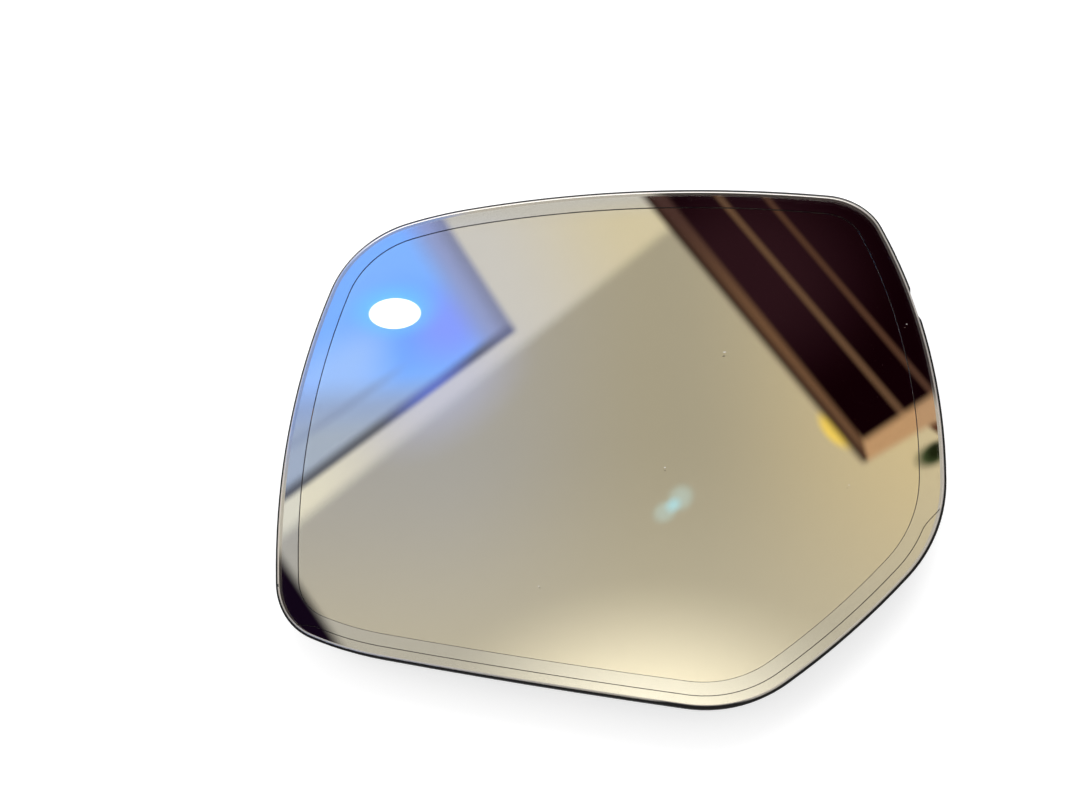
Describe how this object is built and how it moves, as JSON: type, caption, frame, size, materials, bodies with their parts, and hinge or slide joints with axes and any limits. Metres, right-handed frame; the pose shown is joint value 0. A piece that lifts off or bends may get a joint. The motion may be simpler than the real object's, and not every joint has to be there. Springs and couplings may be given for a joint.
{
  "type": "car door mirror glass",
  "caption": "Flat auto-dimming door mirror glass for a car's left side, with a reflecting ring, heater pad and terminals, in a snap-in moulded carrier.",
  "frame": {"origin": "under the middle of the outline's bounding box, in the plane of the claw tips it lies on, which is also the socket's axis", "axes": "+X towards the car (inboard), +Y towards the mirror's top, +Z out of the reflecting face"},
  "size_m": [0.1822, 0.1532, 0.0157],
  "materials": {
    "clear_glass": "polished, ground edge",
    "ring_mirror": "first-surface metal coating, black behind",
    "seal_epoxy": "cured epoxy",
    "plug_resin": "cured resin",
    "gel": "clear, faintly yellow",
    "rear_mirror": "warm metal coating on the front of the glass",
    "clip_bronze": "stamped sheet",
    "heater_film": "satin film",
    "tinned_brass": "tinned, stamped",
    "rivet_metal": "tinned",
    "foam_tape": "fine foam",
    "black_plastic": "moulded, fine grain"
  },
  "bodies": {
    "root": {"front_glass": "clear_glass", "mirror_ring": "ring_mirror", "perimeter_seal": "seal_epoxy", "fill_port_plug": "plug_resin", "dimming_gel": "gel", "rear_glass": "rear_mirror", "upper_bus_clip": "clip_bronze", "lower_bus_clip": "clip_bronze", "heater_pad": "heater_film", "heater_blade_upper": "tinned_brass", "heater_blade_lower": "tinned_brass", "blade_rivets": "rivet_metal", "mounting_tape": "foam_tape", "carrier": "black_plastic"}
  },
  "joints": []
}
